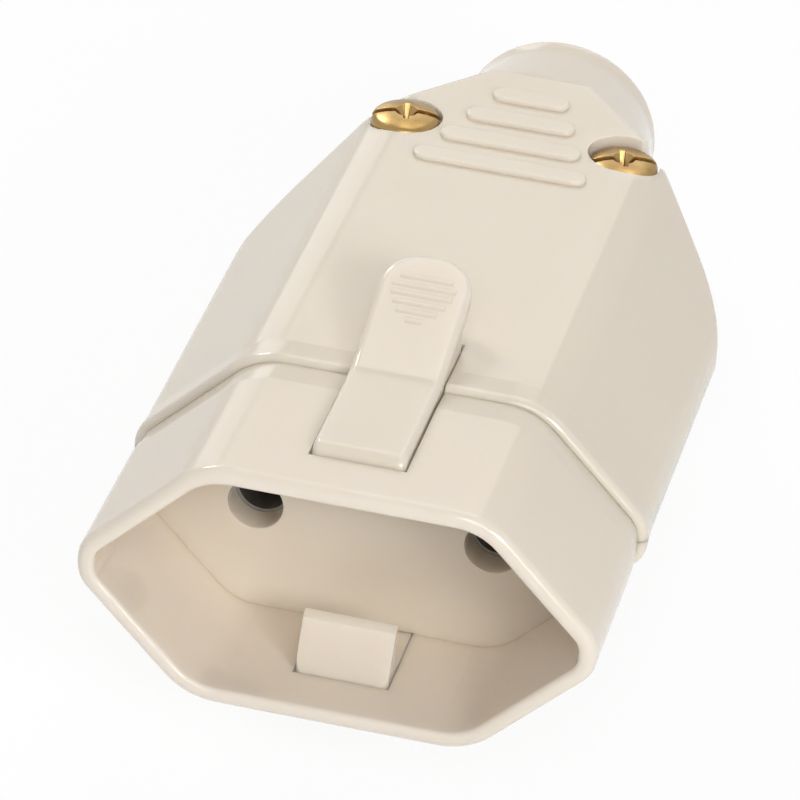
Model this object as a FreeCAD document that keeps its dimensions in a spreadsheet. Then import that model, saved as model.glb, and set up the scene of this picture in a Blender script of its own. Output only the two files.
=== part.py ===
import FreeCAD, Part
import Sketcher
import math
import os
import types

# Inline two-pin socket connector with two latch levers, in millimetres.
# Origin: centre of the face that a plug seats on. +Y runs along the axis to the cable end, +X to the right
# as seen from the mouth, +Z up. The housing is split at Z = 0.

# Driving sizes: name, value, what it is
SIZES = [
    ("pin_spacing", 19.0, "between the centres of the two pin holes"),
    ("pin_hole_radius", 2.25, "pin hole in the seating face"),
    ("face_wall", 2.5, "thickness of the seating face, down to the contacts"),
    ("recess_depth", 12.8, "mouth to seating face"),
    ("collar_half_width", 20.4, "at the mouth"),
    ("collar_half_height", 10.65, "at the mouth"),
    ("collar_corner_leg", 9.15, "leg of the 45 degree corner at the mouth"),
    ("collar_wall", 1.4, "round the recess"),
    ("collar_draft", 0.08, "how far each side leans in from the mouth to the drop near the seam"),
    ("collar_drop", 0.3, "how far each side falls away from there to the seam"),
    ("collar_drop_length", 3.0, "length of that drop"),
    ("collar_behind_face", 4.7, "seating face to the seam"),
    ("lip_outer_radius", 0.8, "outer rounding of the mouth"),
    ("lip_inner_radius", 0.45, "inner rounding of the mouth"),
    ("top_corner_radius", 6.0, "where the flat meets the slope, outside"),
    ("side_corner_radius", 3.0, "where the slope meets the side, outside"),
    ("shell_half_width", 20.6, "rear housing"),
    ("shell_half_height", 10.55, "rear housing"),
    ("shell_corner_leg", 9.1, "leg of the 45 degree corner"),
    ("shell_wall", 2.0, "rear housing"),
    ("shell_edge_radius", 0.7, "front edge at the seam"),
    ("shell_flare", 0.2, "how far the shell's front end stands out"),
    ("shell_flare_length", 3.0, "length over which it does so"),
    ("chamber_end", 35.5, "rear end of the terminal chamber"),
    ("shoulder_start", 37.6, "where the sides turn in"),
    ("nose_tip", 62.8, "where the lines of the shoulders meet on the axis"),
    ("shoulder_corner_radius", 18.0, "plan rounding where the sides turn in"),
    ("shoulder_lead", 0.18, "the rounding starts this far outside the sides, so that it cuts them cleanly"),
    ("shoulder_edge_radius", 0.7, "rim of the shoulders"),
    ("plateau_end", 57.5, "where the flats end above the neck"),
    ("neck_root", 57.5, "where the neck's taper starts"),
    ("neck_root_radius", 10.5, "neck at the root"),
    ("neck_taper_end", 66.0, "where the neck turns straight"),
    ("neck_bend_radius", 8.0, "at both ends of the neck's taper"),
    ("neck_radius", 8.55, "neck at its end"),
    ("neck_end", 68.1, "rear end of the connector"),
    ("neck_edge_radius", 0.8, "rounding of the neck's end"),
    ("cable_radius", 4.25, "cable hole"),
    ("channel_radius", 6.0, "wire channel between the screws"),
    ("channel_end", 50.0, "rear end of the wire channel"),
    ("fit_gap", 0.15, "between pieces that fit into each other"),
    ("bead_start", 8.0, "front of the inner bead that holds the tail"),
    ("bead_length", 1.6, "along the axis"),
    ("bead_depth", 1.0, "inwards from the housing's wall"),
    ("tail_end", 12.0, "rear face of the tail's flange"),
    ("grip_bar_first", 40.6, "centre of the foremost grip bar"),
    ("grip_bar_pitch", 4.0, "from bar to bar"),
    ("grip_bar_half_length", 7.3, "foremost grip bar"),
    ("grip_bar_step", 1.33, "each bar's half length is this much shorter"),
    ("grip_bar_width", 2.1, "along the axis"),
    ("grip_bar_height", 0.4, "above the housing"),
    ("grip_bar_radius", 0.25, "rounded rim of a bar"),
    ("screw_spread", 9.3, "screw axis from the middle"),
    ("screw_place", 46.5, "screw axis from the seating face"),
    ("screw_seat", 8.3, "height of the seat under the screw head"),
    ("screw_head_radius", 2.9, "pan head"),
    ("screw_head_height", 1.75, "edge of the pan head"),
    ("screw_dome", 0.4, "crown of the pan head"),
    ("screw_shank_radius", 1.45, "M3 thread"),
    ("screw_slot_width", 0.8, "driver slot"),
    ("screw_slot_depth", 0.9, "below the crown"),
    ("screw_cross_reach", 1.7, "half length of the cross recess"),
    ("head_gap", 0.15, "round the screw head"),
    ("seat_opening", 3.2, "width of the way out of a screw or nut seat, through the shoulder"),
    ("hole_gap", 0.15, "round the screw shank"),
    ("nut_across", 5.5, "across flats, M3"),
    ("nut_height", 2.4, "M3"),
    ("nut_inset", 0.4, "nut below the underside"),
    ("thread_gap", 0.05, "between a screw and its thread hole"),
    ("latch_half_width", 3.7, "lever"),
    ("latch_gap", 0.15, "beside and ahead of the lever"),
    ("notch_gap", 0.08, "side gap of the lever in the shell's notch"),
    ("latch_front", 8.1, "front end of the lever ahead of the seating face"),
    ("latch_top", 11.45, "top of the lever's arm"),
    ("latch_nose_radius", 1.15, "rounded front end of the lever"),
    ("latch_rest_gap", 0.1, "between the arm and the wall that it rests on"),
    ("latch_crease", 4.1, "where the pad starts to rise"),
    ("pad_end", 16.0, "rear end of the thumb pad"),
    ("pad_end_height", 15.8, "top of the thumb pad at its end"),
    ("pad_thickness", 1.6, "thumb pad, upright"),
    ("pad_corner_radius", 3.1, "plan rounding of the pad's end"),
    ("pad_edge_radius", 0.6, "rim of the lever"),
    ("crease_radius", 10.0, "hollow at the crease"),
    ("hook_tip", 6.4, "hook's tip ahead of the seating face"),
    ("hook_back", 5.7, "hook's holding face ahead of the seating face"),
    ("hook_height", 3.95, "top of the hook's ramp below the recess wall"),
    ("hook_crown", 0.45, "small bevel at the hook's tip"),
    ("pivot_place", 6.2, "lever pivot from the seating face"),
    ("pivot_height", 7.2, "lever pivot from the axis"),
    ("boss_radius", 1.5, "round the pivot"),
    ("trunnion_radius", 1.0, "lever pivot"),
    ("trunnion_length", 1.6, "beyond the lever's side"),
    ("trunnion_gap", 0.06, "running clearance of the pivot"),
    ("leg_end", 10.7, "rear face of the lever's spring leg"),
    ("leg_underside", 8.9, "where the spring pushes"),
    ("notch_end", 11.8, "rear end of the notch in the housing"),
    ("pocket_floor", 4.8, "floor of the lever's pocket"),
    ("latch_pocket_start", 2.5, "front of the lever's pocket, behind the wall that the arm rests on"),
    ("slot_corner_radius", 0.5, "slot's corners at the seam"),
    ("rib_first", 5.5, "foremost fine rib, along the pad from the crease"),
    ("rib_pitch", 0.88, "along the pad"),
    ("rib_width", 0.62, "fine rib"),
    ("rib_height", 0.1, "fine rib"),
    ("rib_half_length", 2.6, "longest fine rib"),
    ("rib_root", 0.15, "depth that a fine rib is sunk in the pad"),
    ("spring_place", 9.3, "spring axis from the seating face"),
    ("spring_seat", 2.6, "lower end of the spring"),
    ("spring_radius", 1.0, "to the middle of the wire"),
    ("spring_wire_radius", 0.2, "spring wire"),
    ("spring_turns", 5.0, "coils"),
    ("spring_gap", 0.25, "round the spring and at its ends"),
    ("sleeve_radius", 2.8, "contact sleeve, outside"),
    ("sleeve_bore", 2.05, "contact sleeve, inside"),
    ("sleeve_bore_end", 19.6, "bottom of the sleeve's bore"),
    ("slit_width", 0.7, "slit that lets the sleeve spring"),
    ("terminal_start", 20.3, "front of the terminal block"),
    ("terminal_length", 7.6, "terminal block"),
    ("terminal_half", 3.0, "half side of the terminal block"),
    ("carrier_wall", 1.1, "round the terminal block"),
    ("wire_hole_radius", 1.6, "terminal block"),
    ("wire_hole_depth", 6.0, "terminal block"),
    ("terminal_screw_place", 24.2, "terminal screw from the seating face"),
    ("terminal_screw_radius", 1.2, "shank"),
    ("terminal_screw_low", 0.6, "lower end of the shank"),
    ("terminal_head_radius", 1.8, "terminal screw"),
    ("terminal_head_height", 1.3, "terminal screw"),
]

DIAGONAL = math.sqrt(2.0)
RIB_SHARES = (0.25, 0.63, 0.82, 0.95, 1.0, 0.82)
GRIP_BARS = 4
OVERSHOOT = 1.0
INNER_SHARE = 0.95
SMALLEST_ROUNDING = 0.2

doc = FreeCAD.newDocument("inline_socket_connector")


class Size:
    """A length: its value now, and the sheet expression that drives it."""

    def __init__(self, value, text):
        self.value = value
        self.text = text

    def __add__(self, other):
        other = as_size(other)
        return Size(self.value + other.value, f"({self.text} + {other.text})")

    def __sub__(self, other):
        other = as_size(other)
        return Size(self.value - other.value, f"({self.text} - {other.text})")

    def __mul__(self, other):
        other = as_size(other)
        return Size(self.value * other.value, f"({self.text} * {other.text})")

    def __truediv__(self, other):
        other = as_size(other)
        return Size(self.value / other.value, f"({self.text} / {other.text})")

    def __neg__(self):
        return Size(-self.value, f"(-1 * {self.text})")


def as_size(number):
    """Lets a plain number stand where a Size is asked for."""
    if isinstance(number, Size):
        return number
    return Size(float(number), repr(float(number)))


def root(size):
    return Size(math.sqrt(size.value), f"sqrt({size.text})")


def make_sheet():
    """Writes the driving sizes to the document's sheet and hands them out as Sizes."""
    sheet = doc.addObject("Spreadsheet::Sheet", "Sizes")
    for row, (alias, value, note) in enumerate(SIZES, start=1):
        sheet.set(f"A{row}", alias)
        sheet.set(f"B{row}", str(value))
        sheet.set(f"C{row}", note)
        sheet.setAlias(f"B{row}", alias)
    doc.recompute()
    sizes = {alias: Size(float(sheet.get(alias)), f"Sizes.{alias}") for alias, _, _ in SIZES}
    return types.SimpleNamespace(**sizes)


D = make_sheet()
ZERO = as_size(0.0)
MOUTH = -D.recess_depth
SEAM = D.collar_behind_face


# Sketches

def new_sketch(body, name, plane, offset=ZERO):
    """A sketch on one of the body's own origin planes, moved along +X, +Y or +Z by offset."""
    sketch = body.newObject("Sketcher::SketchObject", name)
    support = [item for item in body.Origin.OriginFeatures if item.Role == plane][0]
    sketch.AttachmentSupport = [(support, "")]
    sketch.MapMode = "FlatFace"
    along_normal = -offset if plane == "XZ_Plane" else offset
    sketch.setExpression("AttachmentOffset.Base.z", along_normal.text)
    return sketch


def point(corner):
    return FreeCAD.Vector(corner[0].value, corner[1].value, 0.0)


def hold(sketch, geometry, end, place):
    """Ties one end of a line, or an arc's centre, to its place from the sketch's origin."""
    for kind, size in zip(("DistanceX", "DistanceY"), place):
        index = sketch.addConstraint(Sketcher.Constraint(kind, -1, 1, geometry, end, size.value))
        sketch.setExpression(f"Constraints[{index}]", size.text)


def add_polygon(sketch, corners):
    """A closed outline of straight lines."""
    corners = [(as_size(x), as_size(y)) for x, y in corners]
    first = sketch.GeometryCount
    count = len(corners)
    for number, corner in enumerate(corners):
        sketch.addGeometry(Part.LineSegment(point(corner), point(corners[(number + 1) % count])))
    for number, corner in enumerate(corners):
        following = first + (number + 1) % count
        sketch.addConstraint(Sketcher.Constraint("Coincident", first + number, 2, following, 1))
        hold(sketch, first + number, 1, corner)


def add_rectangle(sketch, left, right, low, high):
    add_polygon(sketch, [(left, low), (right, low), (right, high), (left, high)])


def add_circle(sketch, centre, radius):
    centre = (as_size(centre[0]), as_size(centre[1]))
    number = sketch.addGeometry(Part.Circle(point(centre), FreeCAD.Vector(0, 0, 1), radius.value))
    hold(sketch, number, 3, centre)
    index = sketch.addConstraint(Sketcher.Constraint("Radius", number, radius.value))
    sketch.setExpression(f"Constraints[{index}]", radius.text)


def add_arc(sketch, start_line, end_line, start, end, middle, radius):
    """An arc from the end of one line to the start of the next."""
    arc = Part.Arc(point(start), middle, point(end))
    number = sketch.addGeometry(arc)
    ends = [(1, start), (2, end)]
    first_point = sketch.getPoint(number, 1)
    if first_point.distanceToPoint(point(start)) > first_point.distanceToPoint(point(end)):
        ends = [(2, start), (1, end)]
    sketch.addConstraint(Sketcher.Constraint("Coincident", number, ends[0][0], start_line, 2))
    sketch.addConstraint(Sketcher.Constraint("Coincident", number, ends[1][0], end_line, 1))
    index = sketch.addConstraint(Sketcher.Constraint("Radius", number, radius.value))
    sketch.setExpression(f"Constraints[{index}]", radius.text)


def add_rounded_outline(sketch, corners):
    """A closed outline through (x, y, radius) corners, each rounded by a tangent arc, or sharp for None."""
    count = len(corners)
    joins = []
    for number, (x, y, radius) in enumerate(corners):
        if radius is None:
            joins.append(((x, y), (x, y), None))
            continue
        before = corners[number - 1]
        after = corners[(number + 1) % count]
        to_before = unit(before[0] - x, before[1] - y)
        to_after = unit(after[0] - x, after[1] - y)
        cosine = to_before[0] * to_after[0] + to_before[1] * to_after[1]
        reach = radius * root((as_size(1) + cosine) / (as_size(1) - cosine))
        start = (x + to_before[0] * reach, y + to_before[1] * reach)
        end = (x + to_after[0] * reach, y + to_after[1] * reach)
        joins.append((start, end, arc_middle(point((x, y)), point(start), point(end), radius.value)))
    first = sketch.GeometryCount
    for number in range(count):
        start = joins[number][1]
        end = joins[(number + 1) % count][0]
        sketch.addGeometry(Part.LineSegment(point(start), point(end)))
        hold(sketch, first + number, 1, start)
        hold(sketch, first + number, 2, end)
    for number, (start, end, middle) in enumerate(joins):
        if middle is None:
            continue
        line_in = first + (number - 1) % count
        add_arc(sketch, line_in, first + number, start, end, middle, corners[number][2])


def unit(x, y):
    length = root(x * x + y * y)
    return x / length, y / length


def arc_middle(corner, start, end, radius):
    """Middle point of the arc that rounds a corner between two tangent points."""
    chord_middle = (start + end) * 0.5
    inward = (chord_middle - corner).normalize()
    reach = corner.distanceToPoint(start)
    to_centre = math.sqrt(reach * reach + radius * radius)
    return corner + inward * (to_centre - radius)


def octagon(half_width, half_height, leg, top_radius, side_radius):
    """The housing's section: a rectangle with 45 degree corners, counter-clockwise from the lower left."""
    flat = half_width - leg
    side = half_height - leg
    return [
        (-flat, -half_height, top_radius), (flat, -half_height, top_radius),
        (half_width, -side, side_radius), (half_width, side, side_radius),
        (flat, half_height, top_radius), (-flat, half_height, top_radius),
        (-half_width, side, side_radius), (-half_width, -side, side_radius),
    ]


def shrunk_octagon(half_width, half_height, leg, inset):
    """The section moved inwards by inset on all its sides, with roundings that keep the wall even."""
    corner_share = 2.0 - DIAGONAL
    top_radius = D.top_corner_radius - inset
    side_radius = D.side_corner_radius - inset
    if side_radius.value < SMALLEST_ROUNDING:
        side_radius = None
    leg = leg - inset * corner_share
    return octagon(half_width - inset, half_height - inset, leg, top_radius, side_radius)


def shell_section(inset):
    return shrunk_octagon(D.shell_half_width, D.shell_half_height, D.shell_corner_leg, inset)


def collar_section(inset):
    return shrunk_octagon(D.collar_half_width, D.collar_half_height, D.collar_corner_leg, inset)


# Features

def add_feature(body, kind, name, sketch, length=None, towards_plus=True, both_sides=False):
    """A pad or pocket of a sketch, towards the plus or minus direction of the axis across its plane."""
    feature = body.newObject(f"PartDesign::{kind}", name)
    feature.Profile = sketch
    normal_is_plus = sketch.AttachmentSupport[0][0].Role != "XZ_Plane"
    follows_normal = kind == "Pad"
    feature.Reversed = (towards_plus == normal_is_plus) != follows_normal
    if both_sides:
        feature.SideType = "Symmetric"
    feature.setExpression("Length", length.text)
    doc.recompute()
    return feature


def pad(body, name, sketch, length, **options):
    before = body.Shape.Volume if body.Tip and not body.Shape.isNull() else 0.0
    feature = add_feature(body, "Pad", name, sketch, length, **options)
    require(feature.Shape.Volume > before, f"{body.Label}: {name} added nothing")
    return feature


def pocket(body, name, sketch, length, **options):
    before = body.Shape.Volume
    feature = add_feature(body, "Pocket", name, sketch, length, **options)
    require(feature.Shape.Volume < before, f"{body.Label}: {name} cut nothing")
    return feature


def revolve(body, name, sketch, axis="V_Axis"):
    feature = body.newObject("PartDesign::Revolution", name)
    feature.Profile = sketch
    feature.ReferenceAxis = (sketch, [axis])
    feature.Angle = 360.0
    doc.recompute()
    return feature


def fillet(body, name, radius, wanted):
    """Rounds the edges of the body so far that the function wanted picks."""
    base = body.Tip
    names = [f"Edge{i}" for i, edge in enumerate(base.Shape.Edges, start=1) if wanted(edge)]
    require(names, f"{body.Label}: {name} found no edge")
    feature = body.newObject("PartDesign::Fillet", name)
    feature.Base = (base, names)
    feature.setExpression("Radius", radius.text)
    doc.recompute()
    require(feature.isValid(), f"{body.Label}: {name} can't be rounded")
    return feature


def require(condition, message):
    if not condition:
        raise RuntimeError(message)


def near(a, b, tolerance=0.02):
    return abs(a - b) < tolerance


def in_plane(edge, axis, place):
    """True for an edge that lies in the plane X, Y or Z = place."""
    box = edge.BoundBox
    low = getattr(box, axis + "Min")
    high = getattr(box, axis + "Max")
    return near(low, place.value) and near(high, place.value)


def middle_of(edge):
    return edge.valueAt((edge.FirstParameter + edge.LastParameter) / 2)


def new_body(label):
    body = doc.addObject("PartDesign::Body", label)
    body.Label = label
    return body


def turned_over(body):
    """Turns a piece half round the connector's axis, to the other side of the housing."""
    body.Placement = FreeCAD.Placement(FreeCAD.Vector(), FreeCAD.Rotation(FreeCAD.Vector(0, 1, 0), 180))


# Front moulding with the recess, the seating face and the tail

def make_socket_front():
    body = new_body("socket_front")
    mouth = new_sketch(body, "collar_mouth", "XZ_Plane", MOUTH)
    add_rounded_outline(mouth, collar_section(ZERO))
    drop = new_sketch(body, "collar_drop_start", "XZ_Plane", SEAM - D.collar_drop_length)
    add_rounded_outline(drop, collar_section(D.collar_draft))
    seam = new_sketch(body, "collar_seam", "XZ_Plane", SEAM)
    add_rounded_outline(seam, collar_section(D.collar_draft + D.collar_drop))
    collar = body.newObject("PartDesign::AdditiveLoft", "collar")
    collar.Profile = mouth
    collar.Sections = [drop, seam]
    collar.Ruled = True
    doc.recompute()

    bead_inset = D.shell_wall + D.fit_gap + D.bead_depth
    groove_start = D.bead_start - D.fit_gap
    groove_end = D.bead_start + D.bead_length + D.fit_gap
    steps = [
        ("tail_neck", SEAM, groove_start, D.shell_wall + D.fit_gap),
        ("tail_groove", groove_start, groove_end, bead_inset),
        ("tail_flange", groove_end, D.tail_end, D.shell_wall + D.fit_gap),
    ]
    for name, start, end, inset in steps:
        outline = new_sketch(body, name + "_outline", "XZ_Plane", start)
        add_rounded_outline(outline, shell_section(inset))
        pad(body, name, outline, end - start)

    carrier_half = D.terminal_half + D.fit_gap + D.carrier_wall
    terminal_end = D.terminal_start + D.terminal_length
    towers = new_sketch(body, "carrier_outline", "XZ_Plane", D.tail_end)
    for side in (-1, 1):
        middle = D.pin_spacing * (0.5 * side)
        add_rectangle(towers, middle - carrier_half, middle + carrier_half, -carrier_half, carrier_half)
    pad(body, "carriers", towers, terminal_end + D.fit_gap - D.tail_end)

    recess = new_sketch(body, "recess_outline", "XZ_Plane", MOUTH)
    add_rounded_outline(recess, collar_section(D.collar_wall))
    pocket(body, "recess", recess, D.recess_depth)

    cut_contact_chambers(body, terminal_end)
    cut_latch_slots(body)

    def on_inner_rim(edge):
        middle = middle_of(edge)
        across = abs(middle.x) / D.collar_half_width.value
        upright = abs(middle.z) / D.collar_half_height.value
        slope = D.collar_half_width + D.collar_half_height - D.collar_corner_leg
        slanted = (abs(middle.x) + abs(middle.z)) / slope.value
        return max(across, upright, slanted) < INNER_SHARE

    def on_slot_corner(edge):
        middle = middle_of(edge)
        at_seam = in_plane(edge, "Y", SEAM) and near(abs(middle.x), (D.latch_half_width + D.latch_gap).value)
        return at_seam and edge.BoundBox.XLength < 0.01

    fillet(body, "slot_corners", D.slot_corner_radius, on_slot_corner)
    fillet(body, "lip_inside", D.lip_inner_radius, lambda e: in_plane(e, "Y", MOUTH) and on_inner_rim(e))
    fillet(body, "lip_outside", D.lip_outer_radius,
           lambda e: in_plane(e, "Y", MOUTH) and not on_inner_rim(e))
    return body


def cut_contact_chambers(body, terminal_end):
    """Pin holes in the seating face, and behind them the chambers of the two contacts."""
    pins = new_sketch(body, "pin_hole_outline", "XZ_Plane", ZERO)
    chambers = new_sketch(body, "sleeve_chamber_outline", "XZ_Plane", terminal_end + D.fit_gap)
    blocks = new_sketch(body, "terminal_chamber_outline", "XZ_Plane", terminal_end + D.fit_gap)
    access = new_sketch(body, "screw_access_outline", "XY_Plane",
                        D.terminal_half + D.fit_gap + D.carrier_wall)
    block_half = D.terminal_half + D.fit_gap
    for side in (-1, 1):
        middle = D.pin_spacing * (0.5 * side)
        add_circle(pins, (middle, ZERO), D.pin_hole_radius)
        add_circle(chambers, (middle, ZERO), D.sleeve_radius + D.fit_gap)
        add_rectangle(blocks, middle - block_half, middle + block_half, -block_half, block_half)
        add_circle(access, (middle, D.terminal_screw_place), D.terminal_head_radius + D.hole_gap)
    pocket(body, "pin_holes", pins, D.face_wall)
    pocket(body, "sleeve_chambers", chambers, terminal_end + D.fit_gap - D.face_wall, towards_plus=False)
    pocket(body, "terminal_chambers", blocks, D.terminal_length + D.fit_gap * 2, towards_plus=False)
    pocket(body, "screw_access", access, D.carrier_wall + D.fit_gap, towards_plus=False)


def cut_latch_slots(body):
    """For each lever: the slot through the collar, the pocket behind it, pivot bearings and a spring seat."""
    slot_front = D.latch_front + D.latch_gap
    rest = D.collar_half_height - D.collar_wall - D.latch_rest_gap
    above = D.collar_half_height + OVERSHOOT
    behind = D.tail_end + OVERSHOOT
    bearing = D.trunnion_radius + D.trunnion_gap
    slot_width = (D.latch_half_width + D.latch_gap) * 2
    bearing_width = (D.latch_half_width + D.trunnion_length + D.latch_gap) * 2
    for side, name in ((1, "upper"), (-1, "lower")):
        slot = new_sketch(body, name + "_latch_slot_outline", "YZ_Plane")
        add_polygon(slot, [
            (-slot_front, rest * side), (D.latch_pocket_start, rest * side),
            (D.latch_pocket_start, D.pocket_floor * side), (behind, D.pocket_floor * side),
            (behind, above * side), (-slot_front, above * side),
        ])
        pocket(body, name + "_latch_slot", slot, slot_width, both_sides=True)

        round_end = new_sketch(body, name + "_bearing_outline", "YZ_Plane")
        add_circle(round_end, (D.pivot_place, D.pivot_height * side), bearing)
        pocket(body, name + "_bearing", round_end, bearing_width, both_sides=True)
        way_in = new_sketch(body, name + "_bearing_way_in_outline", "YZ_Plane")
        low, high = sorted((D.pivot_height * side, above * side), key=lambda size: size.value)
        add_rectangle(way_in, D.pivot_place - bearing, D.pivot_place + bearing, low, high)
        pocket(body, name + "_bearing_way_in", way_in, bearing_width, both_sides=True)

        seat = new_sketch(body, name + "_spring_seat_outline", "XY_Plane", D.pocket_floor * side)
        seat_radius = D.spring_radius + D.spring_wire_radius + D.spring_gap
        add_circle(seat, (ZERO, D.spring_place), seat_radius)
        pocket(body, name + "_spring_seat", seat, D.pocket_floor - D.spring_seat, towards_plus=side < 0)


# Housing shells

def shoulder_corner():
    """The corner of the plan where the side turns into the shoulder, and its rounding's tangent points."""
    half_width = D.shell_half_width + D.shoulder_lead
    run = D.nose_tip - D.shoulder_start
    length = root(half_width * half_width + run * run)
    across = half_width / length
    along = run / length
    reach = D.shoulder_corner_radius * (as_size(1) - along) / across
    start = (half_width, D.shoulder_start - reach)
    end = (half_width - across * reach, D.shoulder_start + along * reach)
    return (half_width, D.shoulder_start), start, end


def cut_shoulder(body, side):
    """Takes away what lies outside one shoulder: seen from above, a rounded corner and a straight line."""
    corner, start, end = shoulder_corner()
    outside = D.shell_half_width + OVERSHOOT
    name = "right_shoulder" if side > 0 else "left_shoulder"
    sketch = new_sketch(body, name + "_outline", "XY_Plane")
    corners = [end, (ZERO, D.nose_tip), (outside, D.nose_tip), (outside, start[1]), start]
    corners = [(x * side, y) for x, y in corners]
    for number in range(len(corners) - 1):
        sketch.addGeometry(Part.LineSegment(point(corners[number]), point(corners[number + 1])))
        hold(sketch, number, 1, corners[number])
        hold(sketch, number, 2, corners[number + 1])
    bend = point((corner[0] * side, corner[1]))
    middle = arc_middle(bend, point(corners[-1]), point(corners[0]), D.shoulder_corner_radius.value)
    add_arc(sketch, len(corners) - 2, 0, corners[-1], corners[0], middle, D.shoulder_corner_radius)
    pocket(body, name, sketch, D.shell_half_height * 4, both_sides=True)


def on_shoulder_rim(edge):
    """Edges where a shoulder wall or the rear end meets the flats and slopes."""
    middle = middle_of(edge)
    slope = (D.nose_tip - D.shoulder_start) / (D.shell_half_width + D.shoulder_lead)
    on_line = near(middle.y + abs(middle.x) * slope.value, D.nose_tip.value, 0.05)
    at_end = in_plane(edge, "Y", D.plateau_end) and near(abs(middle.x), 0.0)
    return (on_line or at_end) and abs(middle.z) > D.side_corner_radius.value


def add_front_flare(body):
    """The shell's front end stands out a little, up to the seam."""
    wide = new_sketch(body, "flare_front", "XZ_Plane", SEAM)
    add_rounded_outline(wide, shell_section(-D.shell_flare))
    narrow = new_sketch(body, "flare_rear", "XZ_Plane", SEAM + D.shell_flare_length)
    add_rounded_outline(narrow, shell_section(ZERO))
    flare = body.newObject("PartDesign::AdditiveLoft", "front_flare")
    flare.Profile = wide
    flare.Sections = [narrow]
    flare.Ruled = True
    doc.recompute()


def add_neck(body):
    sketch = new_sketch(body, "neck_profile", "XY_Plane")
    add_rounded_outline(sketch, [
        (ZERO, D.chamber_end, None), (D.neck_root_radius, D.chamber_end, None),
        (D.neck_root_radius, D.neck_root, D.neck_bend_radius),
        (D.neck_radius, D.neck_taper_end, D.neck_bend_radius),
        (D.neck_radius, D.neck_end, None), (ZERO, D.neck_end, None),
    ])
    revolve(body, "neck", sketch)
    fillet(body, "neck_end_rounding", D.neck_edge_radius, lambda e: in_plane(e, "Y", D.neck_end))


def add_grip_bars(body):
    sketch = new_sketch(body, "grip_bar_outline", "XY_Plane", D.shell_half_height)
    for number in range(GRIP_BARS):
        half_length = D.grip_bar_half_length - D.grip_bar_step * number
        middle = D.grip_bar_first + D.grip_bar_pitch * number
        half_width = D.grip_bar_width / 2
        round_end = half_width * 0.98
        add_rounded_outline(sketch, [
            (-half_length, middle - half_width, round_end), (half_length, middle - half_width, round_end),
            (half_length, middle + half_width, round_end), (-half_length, middle + half_width, round_end),
        ])
    pad(body, "grip_bars", sketch, D.grip_bar_height)
    top = D.shell_half_height + D.grip_bar_height
    fillet(body, "grip_bar_rims", D.grip_bar_radius, lambda e: in_plane(e, "Z", top))


def hollow_out(body):
    """Cavity with the bead that holds the tail, the wire channel and the cable hole."""
    bead_end = D.bead_start + D.bead_length
    steps = [
        ("bead_bore", SEAM, D.chamber_end, D.shell_wall + D.bead_depth),
        ("front_chamber", SEAM, D.bead_start, D.shell_wall),
        ("terminal_chamber", bead_end, D.chamber_end, D.shell_wall),
    ]
    for name, start, end, inset in steps:
        outline = new_sketch(body, name + "_outline", "XZ_Plane", start)
        add_rounded_outline(outline, shell_section(inset))
        pocket(body, name, outline, end - start)
    channel = new_sketch(body, "wire_channel_outline", "XZ_Plane", D.chamber_end)
    add_circle(channel, (ZERO, ZERO), D.channel_radius)
    pocket(body, "wire_channel", channel, D.channel_end - D.chamber_end)
    cable = new_sketch(body, "cable_hole_outline", "XZ_Plane", D.channel_end)
    add_circle(cable, (ZERO, ZERO), D.cable_radius)
    pocket(body, "cable_hole", cable, D.neck_end - D.channel_end)


def cut_screw_holes(body):
    holes = new_sketch(body, "screw_hole_outline", "XY_Plane")
    for side in (-1, 1):
        add_circle(holes, (D.screw_spread * side, D.screw_place), D.screw_shank_radius + D.hole_gap)
    pocket(body, "screw_holes", holes, D.shell_half_height * 4, both_sides=True)


def cut_counterbores(body):
    """Round seats for the screw heads, from above."""
    top = D.shell_half_height + OVERSHOOT
    seats = new_sketch(body, "counterbore_outline", "XY_Plane", top)
    for side in (-1, 1):
        add_circle(seats, (D.screw_spread * side, D.screw_place), D.screw_head_radius + D.head_gap)
    pocket(body, "counterbores", seats, top - D.screw_seat, towards_plus=False)
    open_seats(body, top, top - D.screw_seat)


def open_seats(body, top, depth):
    """Opens both seats through the shoulders, square to the wall, so that no thin edge is left."""
    corner, _, _ = shoulder_corner()
    inwards, rearwards = unit(corner[0], D.nose_tip - corner[1])
    half = D.seat_opening / 2
    reach = D.screw_head_radius * 2
    openings = new_sketch(body, "seat_opening_outline", "XY_Plane", top)
    for side in (-1, 1):
        near_x = D.screw_spread + inwards * half
        near_y = D.screw_place - rearwards * half
        far_x = D.screw_spread - inwards * half
        far_y = D.screw_place + rearwards * half
        out_x = rearwards * reach
        out_y = inwards * reach
        corners = [(near_x, near_y), (near_x + out_x, near_y + out_y), (far_x + out_x, far_y + out_y),
                   (far_x, far_y)]
        add_polygon(openings, [(x * side, y) for x, y in corners])
    pocket(body, "seat_openings", openings, depth, towards_plus=False)


def hexagon(middle_x, middle_y, across):
    """Corners of a hexagon with its flats to the front and the back."""
    reach = across / math.sqrt(3.0)
    return [
        (middle_x + reach * math.cos(math.radians(60 * i)), middle_y + reach * math.sin(math.radians(60 * i)))
        for i in range(6)
    ]


def cut_nut_pockets(body):
    """Hexagon pockets for the nuts, from outside."""
    top = D.shell_half_height + OVERSHOOT
    pockets = new_sketch(body, "nut_pocket_outline", "XY_Plane", top)
    for side in (-1, 1):
        add_polygon(pockets, hexagon(D.screw_spread * side, D.screw_place, D.nut_across + D.fit_gap * 2))
    depth = D.nut_height + D.nut_inset + OVERSHOOT
    pocket(body, "nut_pockets", pockets, depth, towards_plus=False)
    open_seats(body, top, depth)


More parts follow.
